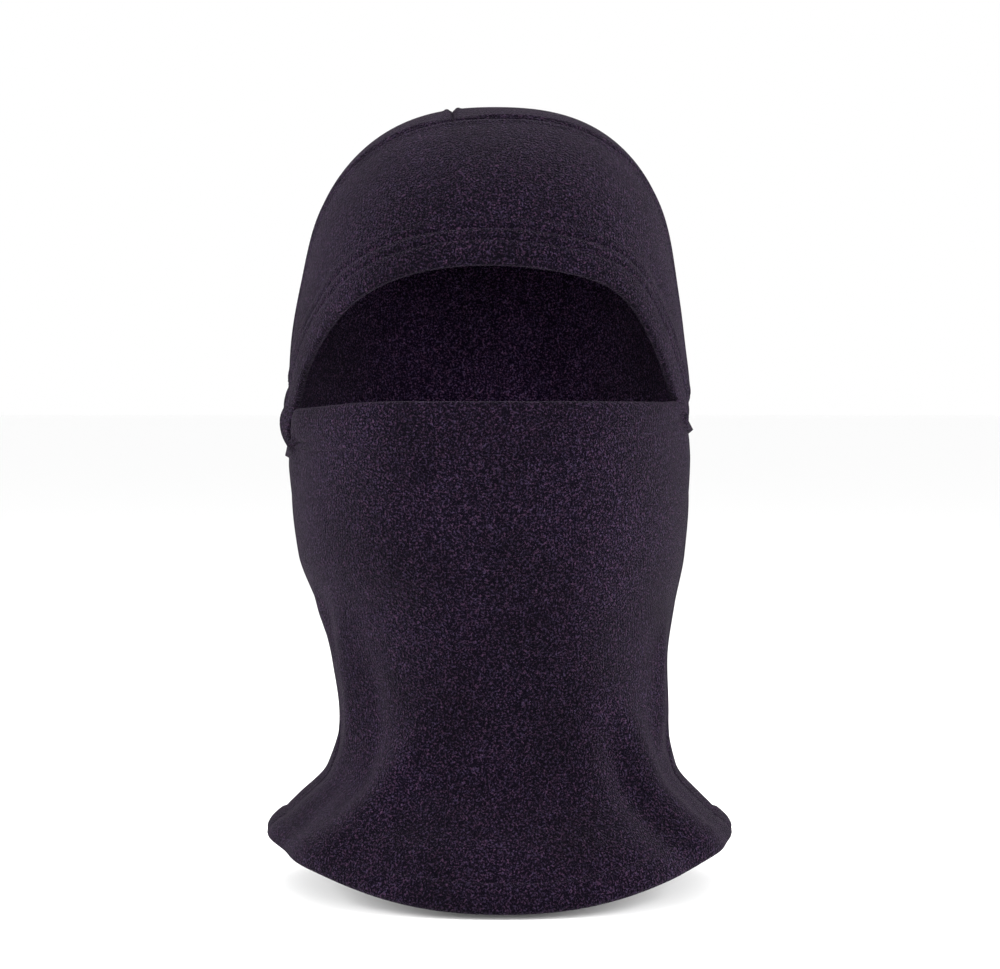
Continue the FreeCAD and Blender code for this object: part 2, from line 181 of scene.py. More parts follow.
def cloth(name, middle, material, thickness=FABRIC, painted_inside_light=1):
    """A closed piece of fabric round a grid of middle points, with its own flat map in metres, and a weight
    on its inner face for the fleece's painted inside light.
    """
    normal = facing_out(middle)
    rows, columns = middle.shape[:2]
    outside = middle + normal * thickness / 2
    inside = middle - normal * thickness / 2
    points = np.concatenate([outside.reshape(-1, 3), inside.reshape(-1, 3)]) * MM
    index = np.arange(rows * columns).reshape(rows, columns)
    quads = np.stack([index[:-1, :-1], index[1:, :-1], index[1:, 1:], index[:-1, 1:]], axis=-1).reshape(-1, 4)
    under = quads[:, ::-1] + rows * columns
    edge = np.concatenate([index[0, :-1], index[:-1, -1], index[-1, :0:-1], index[:0:-1, 0]])
    following = np.roll(edge, -1)
    rim = np.stack([edge, following, following + rows * columns, edge + rows * columns], axis=-1)
    faces = np.concatenate([quads, under, rim])
    mesh = bpy.data.meshes.new(name)
    mesh.from_pydata([], [], [])
    mesh.vertices.add(len(points))
    mesh.vertices.foreach_set("co", points.astype(np.float32).ravel())
    mesh.loops.add(len(faces) * 4)
    mesh.loops.foreach_set("vertex_index", faces.astype(np.int32).ravel())
    mesh.polygons.add(len(faces))
    mesh.polygons.foreach_set("loop_start", np.arange(len(faces), dtype=np.int32) * 4)
    mesh.update(calc_edges=True)
    flat = mesh.uv_layers.new(name="cloth")
    down, along = down_from_first(middle), across_from_first(middle)
    along -= along[:, columns // 2:columns // 2 + 1]
    uv = np.stack([along, down], axis=-1).reshape(-1, 2) * MM
    uv = np.concatenate([uv, uv])[faces.ravel()]
    flat.data.foreach_set("uv", uv.astype(np.float32).ravel())
    here = mesh.attributes.new("rest_place", "FLOAT_VECTOR", "POINT")
    here.data.foreach_set("vector", points.astype(np.float32).ravel())
    # The inner face is weighted for painted light: the fleece paints it lighter, standing in for the light
    # inside the hood.
    side = np.concatenate([np.zeros(rows * columns), np.full(rows * columns, painted_inside_light)])
    mesh.attributes.new("painted_inside_light_weight", "FLOAT", "POINT").data.foreach_set("value", side.astype(np.float32))
    mesh.polygons.foreach_set("use_smooth", np.ones(len(faces), dtype=bool))
    mesh.validate()
    piece = bpy.data.objects.new(name, mesh)
    bpy.context.scene.collection.objects.link(piece)
    mesh.materials.append(material)
    return piece


def turned_hem(middle, rows_turned):
    """The rows of a hem turned inside at the grid's first row: from its cut edge up to the soft fold."""
    normal = facing_out(middle)
    back = (middle - 2 * FOLD_RADIUS * normal)[rows_turned:0:-1]
    edge, edge_normal = middle[0], normal[0]
    ahead = middle[0] - middle[1]
    ahead = ahead / np.linalg.norm(ahead, axis=-1, keepdims=True)
    bend = []
    for angle in np.linspace(math.pi, 0, 9)[:-1]:
        out = ahead * FOLD_RADIUS * math.sin(angle)
        bend.append(edge + out - edge_normal * FOLD_RADIUS * (1 - math.cos(angle)))
    return np.concatenate([back, np.array(bend)])


# Side view of the brow edge: an arc that rises from the cheeks to the forehead.
BROW_ARC_RADIUS = 213
BROW_ARC_FRONT = -229
BROW_ARC_HEIGHT = -244
# How much the stretched opening gapes past that arc: a height, then the right and the left cheek.
BROW_GAPE = np.array([
    (-166, 15, 9),
    (-150, 13, 8),
    (-138, 11, 6.5),
    (-128, 7.6, 4),
    (-119, 5, 2.4),
    (-107, 2.6, 2),
    (-97, 1.4, 3),
    (-86, 0.6, 3.2),
    (-76, 0, 0),
])
BROW_LOW_RIGHT = -166
BROW_LOW_LEFT = -158
BROW_COLUMNS = 331
BROW_HEM = 16
BROW_ROW_GAP = 5.5
HEM_ROWS = 20
HEM_REACH = 19
PANEL_ROWS = 58
SEAM_FRONT = -14
CROWN_SEAM_FRONT = -54
CROWN_SEAM_FADE = 1.3
CROWN_SEAM_ASKEW = 4
SEAM_HALF_WIDTH = 93
SEAM_GROOVE = 1.8
COVER_ROW = 2.6


def half_width_at(y, height):
    """Half width of the form where it stands that far forward, at that height."""
    half_width, front, back, _ = outline_at(height)
    depth = np.where(y < 0, front, back)
    rise = np.clip((height - EAR_HEIGHT) / CROWN_HEIGHT, 0, 1)
    oval = (1 - rise ** CROWN_ROUNDNESS) ** (SECTION_ROUNDNESS / CROWN_ROUNDNESS)
    left_over = np.maximum(oval - np.abs(y / depth) ** SECTION_ROUNDNESS, 0)
    return half_width * left_over ** (1 / SECTION_ROUNDNESS)


def brow_half(low, side):
    """Half of the opening's edge, from the cheek up to the middle of the brow."""
    low_turn = math.asin((low - BROW_ARC_HEIGHT) / BROW_ARC_RADIUS)
    turns = np.linspace(low_turn, math.radians(80), 4000)
    z = BROW_ARC_HEIGHT + BROW_ARC_RADIUS * np.sin(turns)
    gape = eased(BROW_GAPE[:, 0], BROW_GAPE[:, 1 if side < 0 else 2], z)
    y = BROW_ARC_FRONT + BROW_ARC_RADIUS * np.cos(turns) + gape / np.cos(turns)
    x = half_width_at(y, z)
    top = np.argmax(x <= 0)
    pick = np.linspace(0, 1, 400) ** 0.5 * (top - 1)
    x, y, z = (np.interp(pick, np.arange(top), line[:top]) for line in (x, y, z))
    x[-1] = 0
    return spaced(np.stack([side * x, y, z], axis=-1), BROW_COLUMNS // 2 + 1)


def crown_guide(turn):
    """The seam over the crown: turn goes from 0 at the right ear, by half a turn, to the left ear."""
    rise = np.sin(turn)
    x = -SEAM_HALF_WIDTH * np.cos(turn)
    y = SEAM_FRONT + (CROWN_SEAM_FRONT - SEAM_FRONT) * rise ** (2 * CROWN_SEAM_FADE)
    y = y + CROWN_SEAM_ASKEW * x / SEAM_HALF_WIDTH * rise
    return np.stack([x, y, EAR_HEIGHT + CROWN_HEIGHT * rise], axis=-1)


def side_guide(side, high, low, count):
    """The side seam from one height down to another."""
    drop = np.linspace(high, low, count)
    front = np.full(count, float(SEAM_FRONT))
    return np.stack([side * half_width_at(front, drop), front, drop], axis=-1)


def seam_half(low, side):
    """Half of the seam, from the cheek up past the ear to the middle of the crown."""
    turn = np.linspace(0, math.pi / 2, 400) if side < 0 else np.linspace(math.pi, math.pi / 2, 400)
    below = side_guide(side, low, EAR_HEIGHT, 40)[:-1]
    return spaced(np.concatenate([below, crown_guide(turn)]), BROW_COLUMNS // 2 + 1)


def hood_stand(points):
    """How far the hood stands off the form: slack over the cheeks, a flatter temple and one soft crease."""
    x, y, z = np.moveaxis(points, -1, 0)
    right_slack = 4.2 * hump(-17, 11, y) * hump(-147, 12, z)
    left_slack = 2.2 * hump(-20, 16, y) * hump(-132, 17, z)
    slack = np.where(x < 0, right_slack, left_slack)
    temple = -2.0 * hump(-78, 26, z) * smooth_step(58, 86, np.abs(x))
    crease = -1.1 * hump(0, 3.2, (x - 80) + 0.42 * (z + 84)) * hump(-84, 13, z) * smooth_step(-20, -34, y)
    pleat = -0.9 * hump(0, 3.4, (x + 82) - 0.5 * (z + 94)) * hump(-96, 14, z) * smooth_step(-20, -34, y)
    return slack + temple + crease + pleat


def both_halves(half, low_right_ear, low_left_ear):
    """A whole arch across the head, out of its two halves, from the left ear to the right one."""
    return np.concatenate([half(low_left_ear, 1), half(low_right_ear, -1)[-2::-1]])


brow_line = both_halves(brow_half, BROW_LOW_RIGHT, BROW_LOW_LEFT)
seam_line = both_halves(seam_half, BROW_LOW_RIGHT, BROW_LOW_LEFT)
everywhere = np.ones(BROW_COLUMNS)
reach = down_from_first(on_form(swung(brow_line, seam_line, np.linspace(0, 1, 60)[:, None] * everywhere)))[-1]
hem_steps = np.minimum(HEM_REACH, 0.92 * reach) * np.linspace(0, 1, HEM_ROWS + 1)[:, None]
rest_steps = hem_steps[-1] + (reach - hem_steps[-1]) * np.linspace(0, 1, PANEL_ROWS + 1)[1:, None]
from_edge = np.concatenate([hem_steps, rest_steps])
from_seam = reach - from_edge
brow_form = on_form(swung(brow_line, seam_line, from_edge / reach))
stand = hood_stand(brow_form)
tuck_low = np.where(brow_form[..., 0] < 0, BROW_LOW_RIGHT, BROW_LOW_LEFT)
stand -= 3.4 * smooth_step(tuck_low + 10, tuck_low, brow_form[..., 2])
stand -= 0.9 * hump(BROW_HEM, 1.3, from_edge) + 0.8 * hump(BROW_HEM - BROW_ROW_GAP, 1.3, from_edge)
stand += 0.7 * smooth_step(-2, 5, from_edge) * (1 - smooth_step(BROW_HEM - 1, BROW_HEM + 3, from_edge))
stand += 0.5 * hump(BROW_HEM + 3.2, 1.8, from_edge)
stand += 0.7 * hump(4.2, 1.8, from_seam) - 0.5 * hump(COVER_ROW, 0.9, from_seam)
stand -= SEAM_GROOVE * hump(0, 1.5, from_seam)
brow_middle = brow_form + facing_out(brow_form) * (OUTER_LAYER + stand)[..., None]


FLEECE_SHEEN = 0.052
# How many times lighter the inner faces are painted: painted light standing in for the light that reaches
# into the hood.
INSIDE_PAINTED_LIGHT = 4.0


def fleece(name, ground, rosy, bluish):
    """Brushed stretch fleece: a matted nap of paler fibres over a dark knit, with a soft sheen; its inner
    face is painted lighter, as painted light inside the hood.
    """
    material = bpy.data.materials.new(name)
    material.use_nodes = True
    nodes, links = material.node_tree.nodes, material.node_tree.links
    shader = nodes["Principled BSDF"]
    place = nodes.new("ShaderNodeAttribute")
    place.attribute_name = "rest_place"
    inner = nodes.new("ShaderNodeAttribute")
    inner.attribute_name = "painted_inside_light_weight"
    flat = nodes.new("ShaderNodeUVMap")
    flat.uv_map = "cloth"

    def noise(scale, detail, roughness):
        node = nodes.new("ShaderNodeTexNoise")
        for socket, number in zip(("Scale", "Detail", "Roughness"), (scale, detail, roughness)):
            node.inputs[socket].default_value = number
        links.new(place.outputs["Vector"], node.inputs["Vector"])
        return node.outputs["Fac"]

    def mapped(value, low, high, to_low, to_high):
        node = nodes.new("ShaderNodeMapRange")
        links.new(value, node.inputs["Value"])
        for socket, number in zip(("From Min", "From Max", "To Min", "To Max"), (low, high, to_low, to_high)):
            node.inputs[socket].default_value = number
        return node.outputs["Result"]

    def maths(kind, first, second):
        node = nodes.new("ShaderNodeMath")
        node.operation = kind
        links.new(first, node.inputs[0])
        if isinstance(second, (int, float)):
            node.inputs[1].default_value = second
        else:
            links.new(second, node.inputs[1])
        return node.outputs["Value"]

    nap = noise(1100, 2, 0.7)
    tuft = noise(330, 4, 0.6)
    knit = nodes.new("ShaderNodeTexWave")
    knit.wave_type = "BANDS"
    knit.bands_direction = "X"
    for socket, number in zip(("Scale", "Distortion", "Detail", "Detail Scale"), (190, 3.5, 2, 1.5)):
        knit.inputs[socket].default_value = number
    links.new(flat.outputs["UV"], knit.inputs["Vector"])
    tone_and_inside_light = mapped(noise(28, 3, 0.55), 0.3, 0.7, 0.78, 1.24)
    tone_and_inside_light = maths("MULTIPLY", tone_and_inside_light, mapped(noise(9, 2, 0.5), 0.3, 0.7, 0.86, 1.14))
    tone_and_inside_light = maths("MULTIPLY", tone_and_inside_light, mapped(knit.outputs["Fac"], 0, 1, 0.92, 1.08))
    # The inner faces are painted lighter here: painted light standing in for the light that reaches into the
    # hood.
    tone_and_inside_light = maths("MULTIPLY", tone_and_inside_light, mapped(inner.outputs["Fac"], 0, 1, 1, INSIDE_PAINTED_LIGHT))
    fibre, heather = nodes.new("ShaderNodeMix"), nodes.new("ShaderNodeMix")
    fibre.data_type = heather.data_type = "RGBA"
    fibre.inputs["A"].default_value = (*rosy, 1)
    fibre.inputs["B"].default_value = (*bluish, 1)
    links.new(mapped(noise(520, 2, 0.5), 0.42, 0.58, 0, 1), fibre.inputs["Factor"])
    heather.inputs["A"].default_value = (*ground, 1)
    links.new(fibre.outputs["Result"], heather.inputs["B"])
    raised = maths("MULTIPLY", mapped(nap, 0.49, 0.77, 0, 1), mapped(tuft, 0.3, 0.7, 0.6, 1.4))
    links.new(raised, heather.inputs["Factor"])
    colour = nodes.new("ShaderNodeVectorMath")
    colour.operation = "SCALE"
    links.new(heather.outputs["Result"], colour.inputs["Vector"])
    links.new(tone_and_inside_light, colour.inputs["Scale"])
    links.new(colour.outputs["Vector"], shader.inputs["Base Color"])
    links.new(mapped(tuft, 0.3, 0.7, 0.86, 1.0), shader.inputs["Roughness"])
    pile = maths("ADD", maths("MULTIPLY", nap, 1.2), maths("MULTIPLY", tuft, 0.3))
    pile = maths("ADD", pile, maths("MULTIPLY", knit.outputs["Fac"], 0.08))
    bump = nodes.new("ShaderNodeBump")
    bump.inputs["Strength"].default_value = 1.0
    bump.inputs["Distance"].default_value = 0.0013
    links.new(pile, bump.inputs["Height"])
    links.new(bump.outputs["Normal"], shader.inputs["Normal"])
    shader.inputs["Specular IOR Level"].default_value = 0.04
    shader.inputs["Sheen Weight"].default_value = FLEECE_SHEEN
    shader.inputs["Sheen Roughness"].default_value = 0.22
    shader.inputs["Sheen Tint"].default_value = (0.90, 0.76, 1.0, 1)
    return material


plum_fleece = fleece("plum_black_fleece", (0.0012, 0.0005, 0.0026), (0.047, 0.0230, 0.049),
                     (0.035, 0.0225, 0.050))
brow_panel = cloth("brow_panel_fleece", np.concatenate([turned_hem(brow_middle, HEM_ROWS - 3), brow_middle]),
                   plum_fleece)
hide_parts("brow_panel", "brow_hem")
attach(brow_panel, "hood")

# ---- Back panels -----------------------------------------------------------------------------
# Two mirrored pieces of the same fleece that meet down the middle of the back. They run from the
# seam over the crown to the shoulders, and their lower edges are turned inside once.

BACK_SEAM_START = math.acos(20 / 93)
BACK_COLUMNS = 111
CROWN_ROWS = 126
LOWER_ROWS = 150
BOTTOM_ARC_RADIUS = 245
BOTTOM_ARC_FRONT = -8
BOTTOM_ARC_TOP = -336
BOTTOM_HEM = 12
BOTTOM_HEM_ROWS = 8


def bottom_height(y):
    """Height of the lower edge where the fabric stands that far forward or back."""
    return BOTTOM_ARC_TOP - BOTTOM_ARC_RADIUS + np.sqrt(BOTTOM_ARC_RADIUS ** 2 - (y - BOTTOM_ARC_FRONT) ** 2)


def bottom_hem_stand(from_bottom):
    """The turned lower edge: a little thicker, with a hollow where it is stitched."""
    thick = smooth_step(-2, 4, from_bottom) * (1 - smooth_step(BOTTOM_HEM - 2, BOTTOM_HEM + 2, from_bottom))
    return 0.6 * thick - 0.8 * hump(BOTTOM_HEM, 1.4, from_bottom)


def neck_stand(points):
    """The soft folds of the loose lower fabric, from the jaw to the shoulders."""
    x, y, z = np.moveaxis(points, -1, 0)
    turn = np.degrees(np.arctan2(x - outline_at(z)[3], -y))

    def fold(turn_high, height_high, turn_low, height_low, width, rise):
        share = np.clip((z - height_high) / (height_low - height_high), -0.4, 1.4)
        ends = smooth_step(-0.35, 0.25, share) * (1 - smooth_step(0.75, 1.35, share))
        return rise * ends * hump(0, width, turn - turn_high - (turn_low - turn_high) * share)

    folds = (
        fold(-52, -236, -60, -292, 6, 3.6) + fold(-70, -228, -62, -258, 5, 2.4)
        + fold(-26, -288, -50, -346, 9, 4.4) + fold(42, -282, 60, -344, 7, 4.4)
        + fold(64, -246, 60, -292, 5, 3.0) + fold(-8, -318, -4, -356, 14, 1.2)
        - fold(-78, -296, -84, -336, 7, 2.8) - fold(76, -294, 84, -336, 7, 2.8)
        - fold(-42, -258, -46, -318, 6, 2.8) - fold(34, -292, 46, -340, 6, 2.8)
        - fold(-56, -306, -66, -350, 7, 2.2) + fold(20, -230, 30, -300, 12, 0.9)
    )
    behind = smooth_step(96, 128, np.abs(turn)) * smooth_step(-246, -330, z)
    return folds + behind * 2.2 * np.sin(np.radians(turn) * 9 + 0.6)


def back_form(side):
    """Rows down one back panel: fanned out from the crown to the ears, then level to the lower edge."""
    ends = np.linspace(0.008, 1, CROWN_ROWS) ** 0.9
    ear = 0 if side < 0 else math.pi
    start = BACK_SEAM_START
    side_line = spaced(crown_guide(np.linspace(start, ear, 300)), 300)
    back_line = spaced(swung(crown_guide(np.array([start])), np.array([[0.0, 104.0, EAR_HEIGHT]]),
                             np.linspace(0, 1, 200)[:, None])[:, 0], 300)
    pick = ends * 299
    side_line, back_line = (
        np.stack([np.interp(pick, np.arange(300), line[:, k]) for k in range(3)], axis=-1)
        for line in (side_line, back_line))
    back_line[-1, 0] = 0
    shares = np.linspace(0, 1, BACK_COLUMNS)
    crown = on_form(swung(side_line[:, None], back_line[:, None], shares * np.ones((CROWN_ROWS, 1))))
    fall = np.linspace(0, 1, LOWER_ROWS + 1)[1:, None] * np.ones(BACK_COLUMNS)
    depth = np.zeros(BACK_COLUMNS)
    for _ in range(4):
        level = EAR_HEIGHT + (bottom_height(depth) - EAR_HEIGHT) * fall
        begin = np.arccos(-SEAM_FRONT / outline_at(level)[0])
        turn = begin + (math.pi - begin) * shares
        lower = on_form(np.stack([90 * side * np.sin(turn), -90 * np.cos(turn), level], axis=-1))
        depth = lower[-1, :, 1]
    whole = np.concatenate([crown, lower])
    return whole if side > 0 else whole[:, ::-1]


def back_panel(name, side):
    """One back panel, and the lengths along it that its threads are placed by."""
    form = back_form(side)
    from_start, down = across_from_first(form), down_from_first(form)
    from_end, from_bottom = from_start[:, -1:] - from_start, down[-1] - down
    from_side, from_back = (from_start, from_end) if side > 0 else (from_end, from_start)
    stand = hood_stand(form) + neck_stand(form) + bottom_hem_stand(from_bottom)
    nearest = np.minimum(from_side, from_back)
    meeting = smooth_step(4, 16, down)
    stand -= SEAM_GROOVE * hump(0, 1.5, nearest)
    stand += (0.6 * hump(4.2, 1.8, nearest) - 0.4 * hump(COVER_ROW, 0.9, nearest)) * meeting
    middle = form + facing_out(form) * (OUTER_LAYER + stand)[..., None]
    turned = turned_hem(middle[::-1, ::-1], BOTTOM_HEM_ROWS)[::-1, ::-1]
    piece = cloth(name, np.concatenate([middle, turned]), plum_fleece)
    return piece, middle, from_side, from_back, from_bottom


back_left, left_middle, left_from_side, left_from_back, left_from_bottom = back_panel("back_left_fleece", 1)
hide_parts("back_left_panel")
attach(back_left, "hood")
back_right, right_middle, right_from_side, right_from_back, right_from_bottom = back_panel(
    "back_right_fleece", -1)
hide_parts("back_right_panel", "back_bottom_hem")
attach(back_right, "hood")

# ---- Front panel and mask --------------------------------------------------------------------
# One piece of fleece from the mask's top edge over the face, chin and throat to the chest. The top
# edge is a wide hem that can be pulled down under the chin, and its two corners are left free.

MASK_EDGE = -138.6
MASK_HEM = 23
MASK_ROW_GAP = 9
MASK_STAND = 1.2
RIGHT_CORNER_STAND = 1.6
LEFT_CORNER_STAND = 1.3
FRONT_COLUMNS = 251
FRONT_ROWS = 186
MASK_HEM_ROWS = 18
CORNER_RADIUS = 8
FREE_CORNER_FRONT = -38.5
RIGHT_FREE_LOW = -163
LEFT_FREE_LOW = -151


def front_panel_form():
    """Rows across the front panel: the first follows the mask's edge with its rounded corners."""
    share = np.linspace(-1, 1, FRONT_COLUMNS)
    share = np.sign(share) * (1 - (1 - np.abs(share)) ** 1.12)
    fall = np.linspace(0, 1, FRONT_ROWS)[:, None] * np.ones(FRONT_COLUMNS)
    past_corner = np.maximum(CORNER_RADIUS - (1 - np.abs(share)) * 125, 0)
    corner = CORNER_RADIUS - np.sqrt(CORNER_RADIUS ** 2 - past_corner ** 2)
    droop = 3.4 * smooth_step(0.3, 1.0, -share) + 0.4 * smooth_step(0.3, 1, share)
    top = MASK_EDGE - droop - corner
    depth = np.full(FRONT_COLUMNS, -90.0)
    for _ in range(5):
        level = top + (bottom_height(depth) - top) * fall
        half_width, front, _, _ = outline_at(level)
        low = np.where(share < 0, RIGHT_FREE_LOW, LEFT_FREE_LOW)
        joined = smooth_step(low + 8, low, level)
        side_front = FREE_CORNER_FRONT + (SEAM_FRONT - FREE_CORNER_FRONT) * joined
        oval = np.maximum(1 - np.abs(side_front / front) ** SECTION_ROUNDNESS, 0) ** (1 / SECTION_ROUNDNESS)
        turn = np.arctan2(half_width * oval, -side_front) * share
        form = on_form(np.stack([90 * np.sin(turn), -90 * np.cos(turn), level], axis=-1))
        depth = form[-1, :, 1]
    return form


front_form = front_panel_form()
front_down, front_across = down_from_first(front_form), across_from_first(front_form)
front_from_bottom = front_down[-1] - front_down
from_sides = np.minimum(front_across, front_across[:, -1:] - front_across)
level = front_form[..., 2]
free_low = np.where(front_form[..., 0] < 0, RIGHT_FREE_LOW, LEFT_FREE_LOW)
sewn = smooth_step(free_low + 1, free_low - 5, level)
stand = neck_stand(front_form) + bottom_hem_stand(front_from_bottom)
corner_stand = np.where(front_form[..., 0] < 0, RIGHT_CORNER_STAND, LEFT_CORNER_STAND)
stand += (MASK_STAND + corner_stand * smooth_step(34, 14, from_sides)) * (1 - smooth_step(-162, -184, level))
stand -= 1.0 * hump(MASK_HEM, 1.5, front_down) + 0.9 * hump(MASK_HEM - MASK_ROW_GAP, 1.5, front_down)
stand += 0.6 * smooth_step(-2, 5, front_down) * (1 - smooth_step(MASK_HEM - 1, MASK_HEM + 3, front_down))
stand += (0.4 * hump(4.5, 2, from_sides) - SEAM_GROOVE * hump(0, 1.5, from_sides)) * sewn
front_middle = front_form + facing_out(front_form) * (OUTER_LAYER + stand)[..., None]
front_turned = turned_hem(front_middle[::-1, ::-1], BOTTOM_HEM_ROWS)[::-1, ::-1]
# The front panel's inner face gets no painted inside light.
front_panel = cloth("front_panel_fleece", np.concatenate(
    [turned_hem(front_middle, MASK_HEM_ROWS), front_middle, front_turned]), plum_fleece, painted_inside_light=0)
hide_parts("mask_panel", "mask_hem", "left_cheek", "right_cheek", "bib_panel",
            "front_bottom_hem")

# The line through the cheeks about which the mask would be pulled down; here its height only places the
# corner tacks.
HINGE = Vector((0, -0.014, -0.152))
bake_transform(front_panel)

# ---- Seam allowances and overlock ------------------------------------------------------------
# Inside, the cut edges of each seam lie flat to both sides, and beside the face and neck a looped
# overlock thread binds them so that they don't fray.

ALLOWANCE = 6
ALLOWANCE_DEPTH = 3.2
OVERLOCK_DEPTH = 4.3


def strip_form(line, half_width, rows=9):
    """A band of the form along a line, its rows across the band and its columns along the line."""
    along = np.gradient(line, axis=0)
    outward = np.array(line, float)
    outward[:, 2] = np.maximum(line[:, 2] - EAR_HEIGHT, 0)
    across = np.cross(along, outward)
    across /= np.linalg.norm(across, axis=-1, keepdims=True)
    offsets = np.linspace(-half_width, half_width, rows)
    form = on_form(line[None] + across[None] * offsets[:, None, None])
    facing = (facing_out(form) * outward[None]).sum()
    return form if facing > 0 else form[::-1]


def allowance(name, line, node):
    """The two cut edges of a seam, pressed flat inside."""
    form = strip_form(line, ALLOWANCE)
    piece = cloth(name, form - facing_out(form) * ALLOWANCE_DEPTH, plum_fleece, thickness=1.6)
    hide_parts(node)
    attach(piece, "hood")
    return form


crown_line = spaced(np.concatenate([
    side_guide(-1, -150, EAR_HEIGHT, 20)[:-1], crown_guide(np.linspace(0, math.pi, 300)),
    side_guide(1, EAR_HEIGHT, -150, 20)[1:]]), 221)
back_over = swung(crown_guide(np.array([BACK_SEAM_START])), np.array([[0.0, 104.0, EAR_HEIGHT]]),
                  np.linspace(0.02, 1, 80)[:, None])[:, 0]
back_drop = np.linspace(EAR_HEIGHT, -346, 90)[1:]
back_down = np.stack([np.zeros(89), np.full(89, 90.0), back_drop], axis=-1)
allowance("crown_seam_allowance", crown_line, "crown_seam")
allowance("back_seam_allowance", np.concatenate([back_over, back_down]), "back_seam")
left_edge = allowance("left_seam_allowance", side_guide(1, -152, -334, 130), "left_side_seam")
right_edge = allowance("right_seam_allowance", side_guide(-1, -152, -334, 130), "right_side_seam")


def thread(name, colour):
    """Spun polyester sewing thread, dyed to match."""
    material = bpy.data.materials.new(name)
    material.use_nodes = True
    nodes, links = material.node_tree.nodes, material.node_tree.links
    shader = nodes["Principled BSDF"]
    place = nodes.new("ShaderNodeTexCoord")
    twist = nodes.new("ShaderNodeTexNoise")
    twist.inputs["Scale"].default_value = 1600
    links.new(place.outputs["Object"], twist.inputs["Vector"])
    tone = nodes.new("ShaderNodeMix")
    tone.data_type = "RGBA"
    tone.inputs["A"].default_value = (*(channel * 0.5 for channel in colour), 1)
    tone.inputs["B"].default_value = (*(channel * 1.5 for channel in colour), 1)
    links.new(twist.outputs["Fac"], tone.inputs["Factor"])
    links.new(tone.outputs["Result"], shader.inputs["Base Color"])
    bump = nodes.new("ShaderNodeBump")
    bump.inputs["Strength"].default_value = 0.5
    bump.inputs["Distance"].default_value = 0.0003
    links.new(twist.outputs["Fac"], bump.inputs["Height"])
    links.new(bump.outputs["Normal"], shader.inputs["Normal"])
    shader.inputs["Roughness"].default_value = 0.7
    shader.inputs["Specular IOR Level"].default_value = 0.08
    shader.inputs["Sheen Weight"].default_value = 0.03
    return material


plum_thread = thread("plum_black_thread", (0.0060, 0.0032, 0.0072))


def thread_tree():
    """Lays short threads one after another along the lines it is given."""
    tree = bpy.data.node_groups.new("laid_threads", "GeometryNodeTree")
    face = tree.interface
    face.new_socket("Lines", in_out="INPUT", socket_type="NodeSocketGeometry")
    for measure in ("Spacing", "Stitch length", "Thread width", "Turn"):
        face.new_socket(measure, in_out="INPUT", socket_type="NodeSocketFloat")
    face.new_socket("Thread", in_out="INPUT", socket_type="NodeSocketMaterial")
    face.new_socket("Threads", in_out="OUTPUT", socket_type="NodeSocketGeometry")
    nodes, links = tree.nodes, tree.links
    given, made = nodes.new("NodeGroupInput"), nodes.new("NodeGroupOutput")
    curve = nodes.new("GeometryNodeMeshToCurve")
    links.new(given.outputs["Lines"], curve.inputs["Mesh"])
    points = nodes.new("GeometryNodeResampleCurve")
    points.mode = "LENGTH"
    links.new(curve.outputs["Curve"], points.inputs["Curve"])
    links.new(given.outputs["Spacing"], points.inputs["Length"])
    grain = nodes.new("GeometryNodeMeshUVSphere")
    grain.inputs["Segments"].default_value = 6
    grain.inputs["Rings"].default_value = 5
    grain.inputs["Radius"].default_value = 0.5
    size = nodes.new("ShaderNodeCombineXYZ")
    links.new(given.outputs["Stitch length"], size.inputs["X"])
    links.new(given.outputs["Thread width"], size.inputs["Y"])
    links.new(given.outputs["Thread width"], size.inputs["Z"])
    along = nodes.new("FunctionNodeAlignRotationToVector")
    along.axis = "X"
    links.new(nodes.new("GeometryNodeInputTangent").outputs["Tangent"], along.inputs["Vector"])
    out = nodes.new("GeometryNodeInputNamedAttribute")
    out.data_type = "FLOAT_VECTOR"
    out.inputs["Name"].default_value = "out"
    upright = nodes.new("FunctionNodeAlignRotationToVector")
    upright.axis = "Z"
    upright.pivot_axis = "X"
    links.new(along.outputs["Rotation"], upright.inputs["Rotation"])
    links.new(out.outputs["Attribute"], upright.inputs["Vector"])
    wobble = nodes.new("FunctionNodeRandomValue")
    wobble.data_type = "FLOAT"
    wobble.inputs["Min"].default_value = -0.08
    wobble.inputs["Max"].default_value = 0.08
    wobble.inputs["Seed"].default_value = 7
    slant = nodes.new("ShaderNodeMath")
    links.new(given.outputs["Turn"], slant.inputs[0])
    links.new(wobble.outputs["Value"], slant.inputs[1])
    tip = nodes.new("ShaderNodeCombineXYZ")
    links.new(slant.outputs["Value"], tip.inputs["Z"])
    tipped = nodes.new("FunctionNodeRotateRotation")
    tipped.rotation_space = "LOCAL"
    links.new(upright.outputs["Rotation"], tipped.inputs["Rotation"])
    links.new(tip.outputs["Vector"], tipped.inputs["Rotate By"])
    laid = nodes.new("GeometryNodeInstanceOnPoints")
    links.new(points.outputs["Curve"], laid.inputs["Points"])
    links.new(grain.outputs["Mesh"], laid.inputs["Instance"])
    links.new(tipped.outputs["Rotation"], laid.inputs["Rotation"])
    links.new(size.outputs["Vector"], laid.inputs["Scale"])
    real = nodes.new("GeometryNodeRealizeInstances")
    links.new(laid.outputs["Instances"], real.inputs["Geometry"])
    smooth = nodes.new("GeometryNodeSetShadeSmooth")
    links.new(real.outputs["Geometry"], smooth.inputs["Geometry"])
    dyed = nodes.new("GeometryNodeSetMaterial")
    links.new(smooth.outputs["Geometry"], dyed.inputs["Geometry"])
    links.new(given.outputs["Thread"], dyed.inputs["Material"])
    links.new(dyed.outputs["Geometry"], made.inputs["Threads"])
    return tree


laid_threads = thread_tree()
THREAD_WIDTH = 0.75


